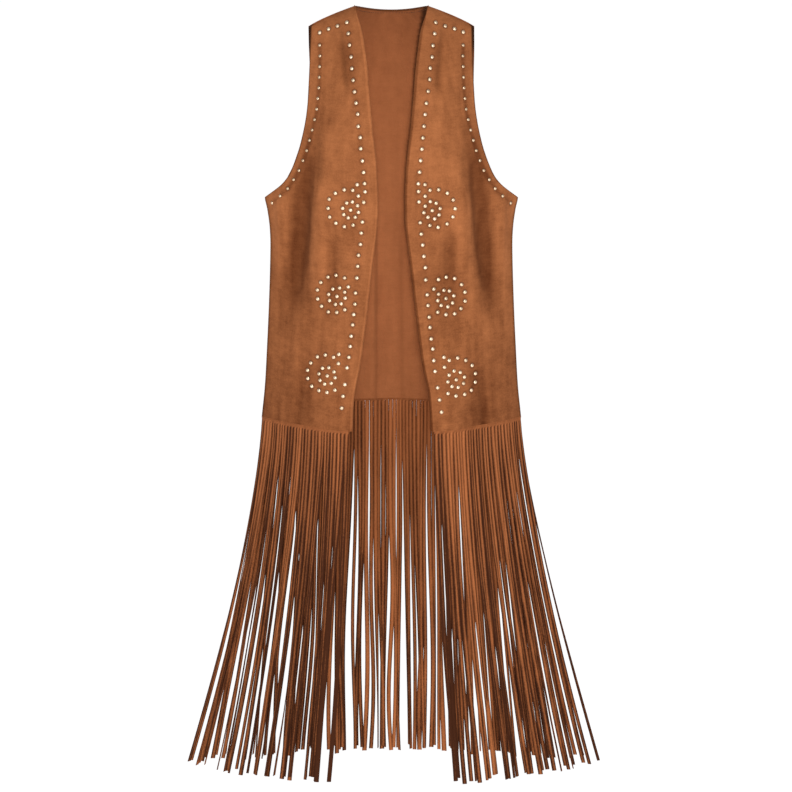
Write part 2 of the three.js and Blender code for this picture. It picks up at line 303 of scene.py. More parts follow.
def cloth_piece(name, grid, folds, turn, seam, finish):
    """A closed shell of cloth inside a grid of outer points, with round edges but for seams and hem."""
    columns = len(grid[0])
    rows = len(grid)
    normals = directions(grid, turn, seam)
    outer = [point for line in grid for point in line]
    inner = [point - normal * wall for point, normal in zip(outer, normals)]
    count = len(outer)
    faces = []
    for row in range(rows - 1):
        for column in range(columns - 1):
            a = row * columns + column
            b = a + columns
            faces.append((a, a + 1, b + 1, b))
            faces.append((count + a, count + b, count + b + 1, count + a + 1))
    top = [(0, column) for column in range(columns)]
    right = [(row, columns - 1) for row in range(1, rows)]
    low = [(rows - 1, column) for column in range(columns - 2, -1, -1)]
    left = [(row, 0) for row in range(rows - 2, 0, -1)]
    rim = top + right + low + left
    rim_points = [row * columns + column for row, column in rim]
    middles = []
    for index, (row, column) in zip(rim_points, rim):
        inward_row = min(max(row, 1), rows - 2)
        inward_column = min(max(column, 1), columns - 2)
        away = grid[row][column] - grid[inward_row][inward_column]
        middle = (outer[index] + inner[index]) / 2
        rounding = 0.0 if seam(row, column) or row == rows - 1 else wall * edge_round
        middles.append(middle + away.normalized() * rounding)
    for place, here in enumerate(rim_points):
        next_place = (place + 1) % len(rim)
        there = rim_points[next_place]
        mid_here = 2 * count + place
        mid_there = 2 * count + next_place
        faces.append((here, mid_here, mid_there, there))
        faces.append((mid_here, count + here, count + there, mid_there))
    if turn < 0:
        faces = [face[::-1] for face in faces]
    piece = new_piece(name, outer + inner + middles, faces, finish)
    flat_folds = [fold for line in folds for fold in line]
    rim_folds = [folds[row][column] for row, column in rim]
    set_values(piece.data, "fold", flat_folds + flat_folds + rim_folds)
    set_values(piece.data, "reverse", [0.0] * count + [1.0] * count + [0.5] * len(rim))
    soften(piece, cloth_smooth_angle)
    return piece


class Shade:
    """One output of a material's nodes, so that a finish reads as a sum of what makes it up."""

    def __init__(self, tree, socket):
        self.tree = tree
        self.socket = socket

    def node(self, kind, settings, sockets, output=0):
        """Adds a node: its settings first, then the values or links of its sockets."""
        made = self.tree.nodes.new(kind)
        for name, value in settings.items():
            setattr(made, name, value)
        for name, value in sockets.items():
            if isinstance(value, Shade):
                self.tree.links.new(value.socket, made.inputs[name])
            else:
                made.inputs[name].default_value = value
        return Shade(self.tree, made.outputs[output])

    def __add__(self, other):
        return worked("ADD", self, other)

    __radd__ = __add__

    def __sub__(self, other):
        return worked("SUBTRACT", self, other)

    def __rsub__(self, other):
        return worked("SUBTRACT", other, self)

    def __mul__(self, other):
        return worked("MULTIPLY", self, other)

    __rmul__ = __mul__


def worked(operation, first, second):
    """One step of shader maths; one of the two values may be a plain number."""
    holder = first if isinstance(first, Shade) else second
    return holder.node("ShaderNodeMath", {"operation": operation}, {0: first, 1: second})


def new_material(name, inputs):
    """A material with some of its shader's inputs set: gives it, its shader and a place to build from."""
    finish = bpy.data.materials.new(name)
    finish.use_nodes = True
    shader = finish.node_tree.nodes["Principled BSDF"]
    for socket, value in inputs.items():
        shader.inputs[socket].default_value = value
    return finish, shader, Shade(finish.node_tree, None).node("ShaderNodeTexCoord", {}, {}, "Object")


def feed(shader, socket, shade):
    shade.tree.links.new(shade.socket, shader.inputs[socket])


def nap_finish(name, sheen):
    """Matt suede with no pattern yet."""
    inputs = {
        "Roughness": 0.93,
        "Sheen Weight": sheen,
        "Sheen Roughness": 0.55,
        "Sheen Tint": (0.8, 0.36, 0.17, 1),
        "Specular IOR Level": 0.06,
    }
    return new_material(name, inputs)


def kept(place, name):
    """The number that a mesh keeps for each of its corner points under a name."""
    return place.node("ShaderNodeAttribute", {"attribute_name": name}, {}, "Fac")


def layered(place, layers):
    """Soft noise for each row of a table, by its name, and their sum about 0 by share."""
    clouds = {}
    uneven = 0
    for layer in layers:
        moved = place.node("ShaderNodeMapping", {}, {"Vector": place, "Scale": layer.stretch})
        sockets = {"Vector": moved, "Scale": layer.scale, "Detail": layer.detail}
        clouds[layer.name] = place.node("ShaderNodeTexNoise", {}, sockets, "Fac")
        uneven = (clouds[layer.name] - 0.5) * layer.share + uneven
    return clouds, uneven


def colour_between(share, first, second):
    return share.node("ShaderNodeMix", {"data_type": "RGBA"}, {0: share, 6: first, 7: second}, 2)


def clamped(share):
    return share.node("ShaderNodeClamp", {}, {"Value": share})


def bumped(height, strength, distance):
    sockets = {"Height": height, "Strength": strength, "Distance": distance}
    return height.node("ShaderNodeBump", {}, sockets)


layer_columns = "name scale stretch detail share"
suede_layers = table_of(
    layer_columns,
    ("patches", 26, (1, 1, 1), 3, 0.5),
    ("clouds", 90, (1, 1, 1), 2, 0.35),
    ("streaks", 1, (85, 85, 9), 4, 0.55),
    ("strokes", 1, (90, 90, 330), 2, 0.3),
    ("grain", 620, (1, 1, 1), 2, 0.4),
)
cloud_bump = 0.8
fold_ridge = 0.0008
fold_trough = -0.0050
fold_painted_shade = 88
fold_calming = 90
reverse_folds = 1.6
reverse_calm = 0.5
hem_shade_top = 0.44
drop_darkening = 0.42
waist_drop = 0.3
hidden_slope = 0.1
hidden_bend = 4
middle_tone = 0.67
deep_shade = (0.020, 0.006, 0.002, 1)


def suede_finish(name, dark, light, reverse_dark, reverse_light):
    """Brushed nap: patches, upright streaks, short strokes across and a fine grain. Painted shade lies
    down in the folds, towards the hem and, near black, where shade is deep; painted light lies on the
    ridges of the folds and on the right front's turned edge. The reverse side is smoother and lighter,
    partly its own colour and partly painted light, with painted shade by height."""
    finish, shader, place = nap_finish(name, sheen=0.08)
    clouds, uneven = layered(place, suede_layers)
    reverse = kept(place, "reverse")
    shade = kept(place, "shade")
    # On the reverse the folds' painted shade turns over: a trough seen from outside gets painted light
    # inside.
    faced = kept(place, "fold") * (1 - reverse * reverse_folds)
    # Painted shade in the troughs of the folds and painted light on their ridges.
    depth = worked("MAXIMUM", worked("MINIMUM", faced, fold_ridge), fold_trough)
    height = place.node("ShaderNodeSeparateXYZ", {}, {"Vector": place}, "Z")
    # Painted shade on the outer face: darker towards the hem, and more so below hem_shade_top.
    near_hem = worked("MAXIMUM", 0 - height - hem_shade_top, 0)
    calm = 1 - reverse * reverse_calm + depth * fold_calming
    from_waist = height + waist_drop
    lower = (height * drop_darkening - near_hem) * (1 - reverse)
    # Painted shade on the reverse by height: darker above and below the waist.
    hidden = (from_waist * hidden_slope + from_waist * from_waist * hidden_bend) * reverse
    # Painted light: on the right front's turned edge the shade is below 0 and lightens the colour.
    painted_light = worked("MINIMUM", shade, 0)
    share = middle_tone + depth * fold_painted_shade + uneven * calm + lower - hidden - painted_light
    held = clamped(share)
    face_colour = colour_between(held, dark, light)
    reverse_colour = colour_between(held, reverse_dark, reverse_light)
    either_side = colour_between(reverse, face_colour, reverse_colour)
    # Painted deep shade: the kept shade mixes the colour towards near black.
    feed(shader, "Base Color", colour_between(shade, either_side, deep_shade))
    nap = clouds["grain"] + clouds["clouds"] * cloud_bump
    feed(shader, "Normal", bumped(nap, strength=0.28, distance=0.0006))
    return finish


suede_dark = (0.105, 0.028, 0.008, 1)
suede_light = (0.450, 0.157, 0.056, 1)
# The reverse colours are lighter: partly the reverse's own colour and partly painted light for the shaded
# inside of the back.
suede = suede_finish(
    "suede", suede_dark, suede_light, (0.200, 0.062, 0.022, 1), (0.600, 0.210, 0.079, 1),
)

# How strongly the back's folds get painted shade and light in the finish.
back_fold_tone = 0.65
back_columns = 224
back_rows = row_heights(156)
back_steps = even(-1, 1, back_columns)
back_cells = [[back_point(t, row) for t in back_steps] for row in back_rows]
back_grid = [[point for point, fold in line] for line in back_cells]
back_fold_grid = [[fold * back_fold_tone for point, fold in line] for line in back_cells]


def back_seam(row, column):
    on_shoulder = row == 0 and abs(back_steps[column]) > neck_share
    on_side = column in (0, back_columns) and back_rows[row] > -underarm
    return on_shoulder or on_side


back = cloth_piece("back_cloth", back_grid, back_fold_grid, 1, back_seam, suede)
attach(back, "root")
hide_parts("back")

# The two fronts: each is cut with a long slanting open edge, and joined to the back along the
# shoulder and the side. Their front edges are turned in and roll softly, and one deep fold falls
# from each armhole. The right front is the left one turned over, with folds of its own.
front_edge = table_of(
    "z x",
    (0.000, 0.0490),
    (-0.034, 0.0423),
    (-0.070, 0.0371),
    (-0.107, 0.0338),
    (-0.157, 0.0288),
    (-0.178, 0.0260),
    (-0.210, 0.0231),
    (-0.252, 0.0216),
    (-0.288, 0.0231),
    (-0.335, 0.0289),
    (-0.383, 0.0341),
    (-0.429, 0.0398),
    (-0.473, 0.0454),
    (-0.513, 0.0532),
    (-0.564, 0.0568),
)
left_folds = table_of(
    fold_columns,
    (0.108, 0.140, -0.150, -0.450, 0.014, -0.009),
    (0.092, 0.101, -0.200, -0.410, 0.013, 0.004),
    (0.146, 0.151, -0.225, -0.400, 0.010, 0.004),
    (0.079, 0.084, -0.270, -0.415, 0.011, -0.0035),
    (0.114, 0.130, -0.455, -0.600, 0.011, -0.0015),
    (0.064, 0.060, -0.022, -0.125, 0.009, -0.003),
    (0.070, 0.076, -0.420, -0.600, 0.018, 0.004),
)
right_folds = table_of(
    fold_columns,
    (0.109, 0.139, -0.154, -0.460, 0.014, -0.009),
    (0.093, 0.099, -0.205, -0.420, 0.013, 0.004),
    (0.147, 0.152, -0.222, -0.410, 0.010, 0.004),
    (0.077, 0.084, -0.276, -0.430, 0.011, -0.0035),
    (0.116, 0.128, -0.448, -0.600, 0.011, -0.0014),
    (0.065, 0.060, -0.026, -0.118, 0.009, -0.003),
    (0.069, 0.077, -0.430, -0.600, 0.018, 0.004),
)
edge_roll = 0.0035
edge_growth = 0.03
first_roll = 0.15
edge_turn = math.radians(125)
edge_steps = 5
front_columns = 96
front_rows = row_heights(260)
front_steps = even(0, 1, front_columns)


def front_point(folds, seed, t, row):
    top_z = -shoulder_drop * t
    z = -row + top_z * (1 - smooth_step(row / shoulder_blend))
    half_width = read(body, "half_width", z)
    edge = read(armhole, "front", z) if z > underarm else half_width
    inner = math.asin(read(front_edge, "x", z) / half_width)
    outer = math.asin(min(1.0, edge / half_width))
    return cloth_point(-1, "front", folds, seed, column_angle(inner, outer, t, row), z, top_z, 0.0)


def rolled_line(line, row):
    """Adds the turned-in front edge before a row's first point; it grows from the shoulder down."""
    first, second = line[:2]
    roll = edge_roll * mix(first_roll, 1.0, smooth_step(row / edge_growth))
    across = (first - second).normalized()
    inward = Vector((0, 0, 1)).cross(across).normalized()
    if inward.y < 0:
        inward = -inward
    rolled = []
    for step in range(edge_steps, 0, -1):
        angle = edge_turn * step / edge_steps
        rolled.append(first + across * roll * math.sin(angle) + inward * roll * (1 - math.cos(angle)))
    return rolled + line


def front_seam(row, column):
    on_side = column == front_columns + edge_steps and front_rows[row] > -underarm
    return row == 0 or on_side


def turned_over(point):
    return Vector((-point.x, point.y, point.z))


# edge_fold is the tone of each turned front edge: painted shade, a dark line, on the left front and a
# little painted light on the right.
sides = table_of(
    "name sign folds seed edge_fold",
    ("left", 1, left_folds, 1.7, -0.004),
    ("right", -1, right_folds, 2.9, 0.0008),
)
fronts = {}
front_grids = {}
for side in sides:
    cells = [[front_point(side.folds, side.seed, t, row) for t in front_steps] for row in front_rows]
    grid = [rolled_line([point for point, fold in line], row) for row, line in zip(front_rows, cells)]
    fold_grid = [[side.edge_fold] * edge_steps + [fold for point, fold in line] for line in cells]
    if side.sign < 0:
        grid = [[turned_over(point) for point in line] for line in grid]
    piece = cloth_piece(f"front_{side.name}_cloth", grid, fold_grid, -side.sign, front_seam, suede)
    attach(piece, "root")
    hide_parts(f"front_{side.name}")
    fronts[side.name] = piece
    front_grids[side.name] = grid

# Sharp creases and painted deep shade: a crease is a thin soft groove with painted shade in it. The
# reverse of the back gets painted deep shade at the shoulder tips and close behind one front edge, and
# cut edges and side seams get painted shade.
camera_distance = 15.0
camera_pitch = math.radians(12)
camera_aim = Vector((0.0062, 0, -0.5347))
sight = Vector((0, math.cos(camera_pitch), -math.sin(camera_pitch)))
upright = Vector((0, math.sin(camera_pitch), math.cos(camera_pitch)))
eye = camera_aim - sight * camera_distance
rim_shade = 0.6
rim_reach = 0.0016
painted_light_edge = 0.13
side_seam_reach = 0.0035
crease_ends = 4
edge_looks = 80

crease_columns = "top_x low_x top low half depth shade"
front_creases = table_of(
    crease_columns,
    (0.0690, 0.0600, -0.014, -0.112, 0.0034, 0.0008, 0.24),
    (0.1150, 0.1310, -0.485, -0.620, 0.0030, 0.0006, 0.07),
    (0.1010, 0.0950, -0.130, -0.240, 0.0045, 0.0006, 0.16),
)
back_creases = table_of(
    crease_columns,
    (-0.0205, -0.0215, -0.235, -0.600, 0.0020, 0.0006, 0.30),
    (0.0120, 0.0160, -0.300, -0.600, 0.0030, 0.0004, 0.14),
)
tip_inner, tip_outer = 0.1035, 0.1060
tip_low, tip_high = -0.083, -0.055
tip_strength = 0.96
edge_shade = table_of(
    "up width strength",
    (0.000, 0.0085, 0.92),
    (-0.030, 0.0075, 0.90),
    (-0.150, 0.0042, 0.84),
    (-0.270, 0.0030, 0.70),
    (-0.400, 0.0020, 0.30),
    (-0.560, 0.0020, 0.15),
)
edge_shade_behind = 0.012


def seen(point):
    """Where a point shows in the picture: across and up from the origin, in metres at the vest."""
    from_eye = point - eye
    at = eye + from_eye * (camera_distance / from_eye.dot(sight))
    return at.x, at.dot(upright)


def crease_at(creases, x, z):
    """How deep the creases are at a place and how much painted shade they get."""
    depth, shade = 0.0, 0.0
    for crease in creases:
        share = fold_share(crease, x, z, crease_ends, crease_ends)
        depth += crease.depth * share
        shade += crease.shade * share
    return depth, shade


def at_side_seam(point):
    """How close a point below the armholes is to the side seam, from 0 to 1."""
    inside = read(body, "half_width", point.z) - abs(point.x)
    return smooth_step(1 - inside / side_seam_reach) if point.z < underarm else 0.0


def at_cut_edge(grid, row, column, side):
    """Whether a point lies on the cut edge of the neck or of an armhole, which gets painted shade."""
    place = grid[row][column]
    last = len(grid[row]) - 1
    if side == 0 and abs(back_steps[column]) < neck_share and back_rows[row] < rim_reach:
        return True
    ends = (0, last) if side == 0 else (last,)
    near = min((place - grid[row][end]).length for end in ends)
    return place.z > underarm and near < rim_reach


left_edge = []
for row in even(0.0, hem_drop, edge_looks):
    left_edge.append(seen(front_point(left_folds, sides[0].seed, 0.0, row)[0]))


def behind_edge(point):
    """Shade on the back's reverse beside the left front's edge, as the picture shows it."""
    across, up = seen(point)
    edge = min(left_edge, key=lambda spot: abs(spot[1] - up))[0] - edge_roll
    width = read(edge_shade, "width", up)
    inside = smooth_step((across - edge + width) / width)
    outside = smooth_step((edge + edge_shade_behind - across) / edge_shade_behind)
    return read(edge_shade, "strength", up) * inside * outside


def at_tip(point):
    across = (abs(point.x) - tip_inner) / (tip_outer - tip_inner)
    up = (point.z - tip_low) / (tip_high - tip_low)
    return tip_strength * smooth_step(across) * smooth_step(up)


def shade_cloth(piece, grid, creases, side):
    """Presses the creases in and keeps how much painted shade each corner point gets; side is 0 for the
    back. The turned edge of the right front gets painted light, which counts as less than no shade."""
    mesh = piece.data
    columns = len(grid[0])
    reverse = [item.value for item in mesh.attributes["reverse"].data]
    shades = []
    for vertex, turned in zip(mesh.vertices, reverse):
        place = vertex.co.copy()
        x = place.x if side == 0 else place.x * side
        depth, crease_shade = crease_at(creases, x, place.z)
        out = Vector((place.x, place.y, 0)).normalized()
        vertex.co -= out * depth
        shade = crease_shade if side == 0 or turned == 0 else 0.0
        if turned == 0.5:
            shade = max(shade, rim_shade)
        if turned < 1:
            shade = max(shade, at_side_seam(place) * rim_shade)
        row, column = divmod(vertex.index % (len(grid) * columns), columns)
        if turned != 0.5 and at_cut_edge(grid, row, column, side):
            shade = max(shade, rim_shade)
        if side < 0 and turned == 0 and column < edge_steps:
            shade = -painted_light_edge
        if side == 0 and turned > 0:
            shade = max(shade, behind_edge(place), at_tip(place))
        shades.append(min(1.0, shade))
    set_values(mesh, "shade", shades)


shade_cloth(back, back_grid, back_creases, 0)
for side in sides:
    shade_cloth(fronts[side.name], front_grids[side.name], front_creases, side.sign)

# The neck's stitching: one row of brown thread a little below the cut edge of the back's neck. Each
# stitch is a short rounded length that lies on the cloth, and the row is seen on both faces.
stitch_length = 0.0027
stitch_pitch = 0.0036
stitch_radius = 0.00045
stitch_drop = 0.0085
stitch_share = 0.36
stitch_off = 0.01
neck_steps = 60
small_smooth_angle = 60


def measured(points):
    """Gives the length of a line of points and a function for the point at a distance."""
    lengths = [0.0]
    for before, after in zip(points, points[1:]):
        lengths.append(lengths[-1] + (after - before).length)
    total = lengths[-1]

    def at(distance):
        held = min(total, max(0.0, distance))
        after = max(1, next(index for index, length in enumerate(lengths) if length >= held))
        share = (held - lengths[after - 1]) / (lengths[after] - lengths[after - 1])
        return points[after - 1].lerp(points[after], share)

    return total, at


def surface_tree(piece):
    """The faces of a piece, for finding the nearest one or the first that a line meets."""
    points = [vertex.co for vertex in piece.data.vertices]
    return BVHTree.FromPolygons(points, [face.vertices for face in piece.data.polygons])


def placed_copy(piece, matrix):
    """A copy of a small piece, with its place in its mesh."""
    copy = linked(f"{piece.name}_copy", piece.data.copy())
    copy.data.transform(matrix)
    return copy


def joined_copies(copies, name):
    bpy.ops.object.select_all(action="DESELECT")
    for copy in copies:
        copy.select_set(True)
    bpy.context.view_layer.objects.active = copies[0]
    bpy.ops.object.join()
    copies[0].name = name
    copies[0].data.name = name
    return copies[0]


thread_finish = new_material("thread", {"Base Color": (0.10, 0.034, 0.012, 1), "Roughness": 0.7})[0]
bpy.ops.mesh.primitive_uv_sphere_add(segments=8, ring_count=6, radius=stitch_radius)
stitch = bpy.context.object
stitch.data.transform(Matrix.Diagonal((stitch_length / 2 / stitch_radius, 1, 1, 1)))
stitch.data.materials.append(thread_finish)
soften(stitch, small_smooth_angle)
back_tree = surface_tree(back)
neck_line = [back_point(t, stitch_drop)[0] for t in even(-stitch_share, stitch_share, neck_steps)]
length, at = measured(neck_line)
stitches = []
for distance in even(0, length, round(length / stitch_pitch)):
    place = at(distance)
    along = (at(distance + stitch_pitch) - at(distance - stitch_pitch)).normalized()
    for facing in (-1, 1):
        on_cloth, normal = back_tree.find_nearest(place + Vector((0, facing * stitch_off, 0)))[:2]
        across = normal.cross(along).normalized()
        turn = Matrix((along, across, normal)).transposed().to_4x4()
        stitches.append(placed_copy(stitch, Matrix.Translation(on_cloth) @ turn))
bpy.data.objects.remove(stitch)
neck_stitching = joined_copies(stitches, "neck_stitching")
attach(neck_stitching, "root")

# The fringe: the hem of each panel is cut into long flat strands of the same suede, held together only
# by a narrow strip under the hem. They fan out to the sides, hang together in loose locks, curl and
# twist a little and end in straight cuts. The sizes that end in _by say how soon a change is complete
# along a strand: 10 means after a tenth of its length.
strip_height = 0.0025
strip_tuck = 0.0015
strip_side = 0.0009
strip_inset = 0.00004
strip_thickness = 0.0014
strip_middle = 0.7
strand_length = 0.4905
strand_pitch = 0.0052
strand_gap = 0.0002
strand_unevenness = 0.24
strand_lengths = (0.982, 1.0)
strand_swings = (0.0006, 0.0042)
strand_waves = (0.6, 1.6)
strand_curls = (0.0002, 0.0009)
strand_edge_shades = (0.6, 1.0)
strand_own_tone = 0.6
strand_widening = 1.1
side_widening = 1.0
strand_thickness = 0.0011
strand_steps = 26
first_share = 0.004
apart_by = 10
full_by = 6
curled_by = 8
shaded_by = 1.4
sway_inward = 0.7
spread_power = 1.3
lock_spacing = (0.0042, 0.0058)
lock_sizes = {"front": (1, 1, 2, 2, 3, 4, 5), "back": (1, 2, 3, 3, 4, 5)}
lock_opening = (0.02, 0.05, 0.08, 0.12, 0.18, 0.26, 0.36)
opening_power = 2.4
lock_wander = {"front": 0.0038, "back": 0.0052}
lock_depth = 0.009
side_gathering = 0.1
strand_wander = 0.0026
strand_depth = 0.002
strand_twists = (0, 6, 12, 18, 25, 40, 70)
turn_starts = (0.0, 0.5)
side_twist = 72
end_half_width = 0.277
end_depth = {"front": 0.084, "back": 0.118}
end_opening = 0.084
fan_share = {"front": 0.92, "back": 0.8}
fan_power = 4
layer_step = 0.0012
opening_strands = 9
opening_shade = 0.75
hem_look = 0.001
hem_steps = 240
strand_smooth_angle = 35
fringe_seeds = {"back": 83, "left": 31, "right": 57}


def end_line(column, facing):
    """The line that the strand ends hang along, seen from above."""
    first = math.asin(end_opening / end_half_width) if facing < 0 else -math.pi / 2
    points = []
    for angle in even(first, math.pi / 2, hem_steps):
        depth = end_depth[column] * max(0.0, math.cos(angle)) ** section_power
        points.append(Vector((end_half_width * math.sin(angle), facing * depth, 0)))
    return measured(points)


def fanned(column, facing, share):
    """Where along the end line a strand hangs: evenly in the middle, and fanned out at the sides."""
    def spread(value):
        return value * mix(abs(value) ** fan_power, 1.0, fan_share[column])

    return spread(share) if facing < 0 else (1 + spread(2 * share - 1)) / 2


Strand = namedtuple("Strand", "place shift layer side_layer tone opens spacing")


def strand_locks(count, column, pick):
    """Gathers the strands into locks that hang a little apart, some further in than others."""
    strands = []
    while len(strands) < count:
        size = min(count - len(strands), pick.choice(lock_sizes[column]))
        shift = pick.uniform(-1, 1) * lock_wander[column]
        layer = pick.uniform(-lock_depth, lock_depth)
        tone = pick.random()
        opens = pick.choice(lock_opening)
        spacing = pick.uniform(*lock_spacing)
        for index in range(size):
            place = (size - 1) / 2 - index
            strands.append(Strand(place, shift, layer, index % 2, tone, opens, spacing))
    return strands


Hem = namedtuple("Hem", "column facing total end_total end_at")
Frame = namedtuple("Frame", "place along inward")
Corner = namedtuple("Corner", "hang tone middle shade reverse")


def hem_frame(hem_at, hem_total, distance, facing):
    """A place on the hem with the level directions along it and into the body."""
    along = hem_at(min(hem_total, distance + hem_look)) - hem_at(max(0.0, distance - hem_look))
    along.z = 0
    along.normalize()
    return Frame(hem_at(distance), along, Vector((along.y, -along.x, 0)) * facing)


def strip_body(frames):
    """The narrow strip under the hem, open where the strands grow from it: three frames a strand."""
    points, corners, faces = [], [], []
    for frame in frames:
        for depth in (strip_inset, strip_inset + strip_thickness):
            for z in (-hem_drop + strip_tuck, -hem_drop - strip_height):
                base = frame.place + frame.inward * depth
                points.append(Vector((base.x, base.y, z)))
                corners.append(Corner(0.0, 0.5, strip_middle, 0.0, 0.0))
    for edge in range(len(frames) - 1):
        a, b = edge * 4, edge * 4 + 4
        faces += [(a, b, b + 1, a + 1), (a + 2, a + 3, b + 3, b + 2), (a, a + 2, b + 2, b)]
        if edge % 3 == 2:  # the gap between two strands
            faces.append((a + 1, b + 1, b + 3, a + 3))
    last = (len(frames) - 1) * 4
    faces += [(0, 1, 3, 2), (last, last + 2, last + 3, last + 1)]
    return points, corners, faces


def hanging(hem, strand, number, root, frame, width, along_hem, pick):
    """Where a strand's end goes, how it gathers into its lock, and how it turns and sways. Those beside
    the front opening hang close together, in shade lower down."""
    step = strand_pitch / hem.total
    near = (along_hem - step / 2, along_hem, along_hem + step / 2)
    before, here, after = [fanned(hem.column, hem.facing, share) * hem.end_total for share in near]
    at_side = smooth_step(2 * (along_hem if hem.facing < 0 else abs(2 * along_hem - 1)) - 1)
    together = mix(1.0, side_gathering, at_side)
    gather = strand.place * (after - before - strand.spacing) * together + strand.shift
    wander = pick.uniform(-strand_wander, strand_wander)
    end = hem.end_at(here)
    gathered = hem.end_at(here + gather + wander) - end
    layer = strand.layer + pick.uniform(-strand_depth, strand_depth)
    length = strand_length * pick.uniform(*strand_lengths)
    reach = Vector((end.x - root.x, end.y - root.y, 0)) + frame.inward * layer
    turned = mix(pick.choice(strand_twists), side_twist, at_side * at_side)
    return SimpleNamespace(
        root=root,
        frame=frame,
        reach=reach,
        gathered=gathered,
        drop=math.sqrt(length ** 2 - (reach + gathered).length_squared),
        twist=math.radians(turned * pick.choice((-1, 1))),
        turn_from=pick.uniform(*turn_starts) * (1 - at_side),
        swing=pick.uniform(*strand_swings) * pick.choice((-1, 1)),
        waves=pick.uniform(*strand_waves),
        curl=pick.uniform(*strand_curls),
        width=width,
        widening=mix(strand_widening, side_widening, at_side),
        tone=mix(strand.tone, pick.random(), strand_own_tone),
        edge_dark=pick.uniform(*strand_edge_shades),
        shade=opening_shade * smooth_step(1 - number / opening_strands) if hem.facing < 0 else 0.0,
    )


def strand_ring(strand, hangs, share):
    """The six corner points across a strand at one share of its length."""
    along, inward = hangs.frame.along, hangs.frame.inward
    sway = hangs.swing * share * math.sin(math.tau * hangs.waves * share)
    opened = 1 - (1 - max(0.0, (share - strand.opens) / (1 - strand.opens))) ** opening_power
    centre = hangs.root + hangs.reach * share ** spread_power + hangs.gathered * opened
    centre += along * sway + inward * sway * sway_inward - Vector((0, 0, hangs.drop * share))
    centre += inward * strand.side_layer * layer_step * min(1.0, share * apart_by)
    angle = hangs.twist * smooth_step((share - hangs.turn_from) / (1 - hangs.turn_from))
    wide = along * math.cos(angle) + inward * math.sin(angle)
    thick = inward * math.cos(angle) - along * math.sin(angle)
    half_wide = wide * hangs.width * mix(1.0, hangs.widening, smooth_step(share * full_by)) / 2
    half_thick = thick * mix(strip_thickness, strand_thickness, min(1.0, share * full_by)) / 2
    shade = hangs.shade * smooth_step(share * shaded_by)
    points, corners = [], []
    for side_way, depth_way in ((-1, -1), (0, -1), (1, -1), (1, 1), (0, 1), (-1, 1)):
        bow = thick * hangs.curl * (1 - abs(side_way)) * min(1.0, share * curled_by)
        points.append(centre + half_wide * side_way + half_thick * depth_way - bow)
        # The cut edges of a strand get painted shade in the finish, its middle painted light.
        middle = 1.0 - abs(side_way) * hangs.edge_dark
        corners.append(Corner(share, hangs.tone, middle, shade, (1 + depth_way) / 2))
    return points, corners


def fringe_piece(name, hem_points, column, facing, seed, sign, finish):
    """One strip with its strands, all one closed body."""
    pick = random.Random(seed)
    hem_total, hem_at = measured(hem_points)
    hem = Hem(column, facing, hem_total, *end_line(column, facing))
    span = hem_total - 2 * strip_side
    count = int(span / strand_pitch)
    strands = strand_locks(count, column, pick)
    weights = [1 + pick.uniform(-strand_unevenness, strand_unevenness) for strand in strands]
    pitches = [span * weight / sum(weights) for weight in weights]
    starts = [strip_side + sum(pitches[:number]) for number in range(count)]
    edges = []
    for start, pitch in zip(starts, pitches):
        edges += [start + (pitch - strand_gap) * half / 2 for half in range(3)]
    frames = [hem_frame(hem_at, hem_total, distance, facing) for distance in edges]
    points, corners, faces = strip_body(frames)
    shares = [first_share] + even(0, 1, strand_steps)[1:]
    for number, strand in enumerate(strands):
        # a strand's part of the strip has three frames of four points, and these six are its low ones
        ring = [number * 12 + corner for corner in (1, 5, 9, 11, 7, 3)]
        root = (points[ring[1]] + points[ring[4]]) / 2
        width = pitches[number] - strand_gap
        along_hem = (starts[number] + width / 2) / hem_total
        hangs = hanging(hem, strand, number, root, frames[number * 3 + 1], width, along_hem, pick)
        for share in shares:
            ring_points, ring_corners = strand_ring(strand, hangs, share)
            next_ring = list(range(len(points), len(points) + 6))
            points += ring_points
            corners += ring_corners
            for corner in range(6):
                after = (corner + 1) % 6
                faces.append((ring[corner], ring[after], next_ring[after], next_ring[corner]))
            ring = next_ring
        faces.append(tuple(ring))
    if sign < 0:
        points = [turned_over(point) for point in points]
    if facing * sign < 0:
        faces = [face[::-1] for face in faces]
    piece = new_piece(name, points, faces, finish)
    for field in Corner._fields:
        set_values(piece.data, field, [getattr(corner, field) for corner in corners])
    soften(piece, strand_smooth_angle)
    return piece


fringe_layers = table_of(
    layer_columns,
    ("streaks", 1, (160, 160, 13), 4, 1.4),
    ("grain", 620, (1, 1, 1), 2, 0.9),
)
tone_share = 1.1
face_power = 1.1
face_light = 0.9
drop_power = 0.45
drop_dark = 0.33
gap_dark = 0.08
under_dark = 0.6
inside_light = 0.2
spread_above = 0.4
spread_below = 0.5


def fringe_finish(name, dark, light):
    """The same nap, each strand of its own tone, with painted shade along its cut edges and towards its
    end, and painted light down its middle and on its inner face.
    """
    finish, shader, place = nap_finish(name, sheen=0.0)
    clouds, uneven = layered(place, fringe_layers)
    drop = worked("POWER", kept(place, "hang"), drop_power)
    face = worked("POWER", kept(place, "middle"), face_power)
    spread = (kept(place, "tone") - 0.5) * tone_share + uneven
    # The middle of each strand gets painted light and its cut edges painted shade; towards the end it
    # gets painted shade.
    lit = face * face_light - gap_dark - drop * drop_dark
    # Painted shade beside the front opening, and painted light on the inner faces of the strands.
    lit = lit - kept(place, "shade") * under_dark + kept(place, "reverse") * inside_light
    share = lit + spread * (spread_above + drop * spread_below)
    feed(shader, "Base Color", colour_between(clamped(share), dark, light))
    feed(shader, "Normal", bumped(clouds["grain"], strength=0.25, distance=0.0005))
    return finish


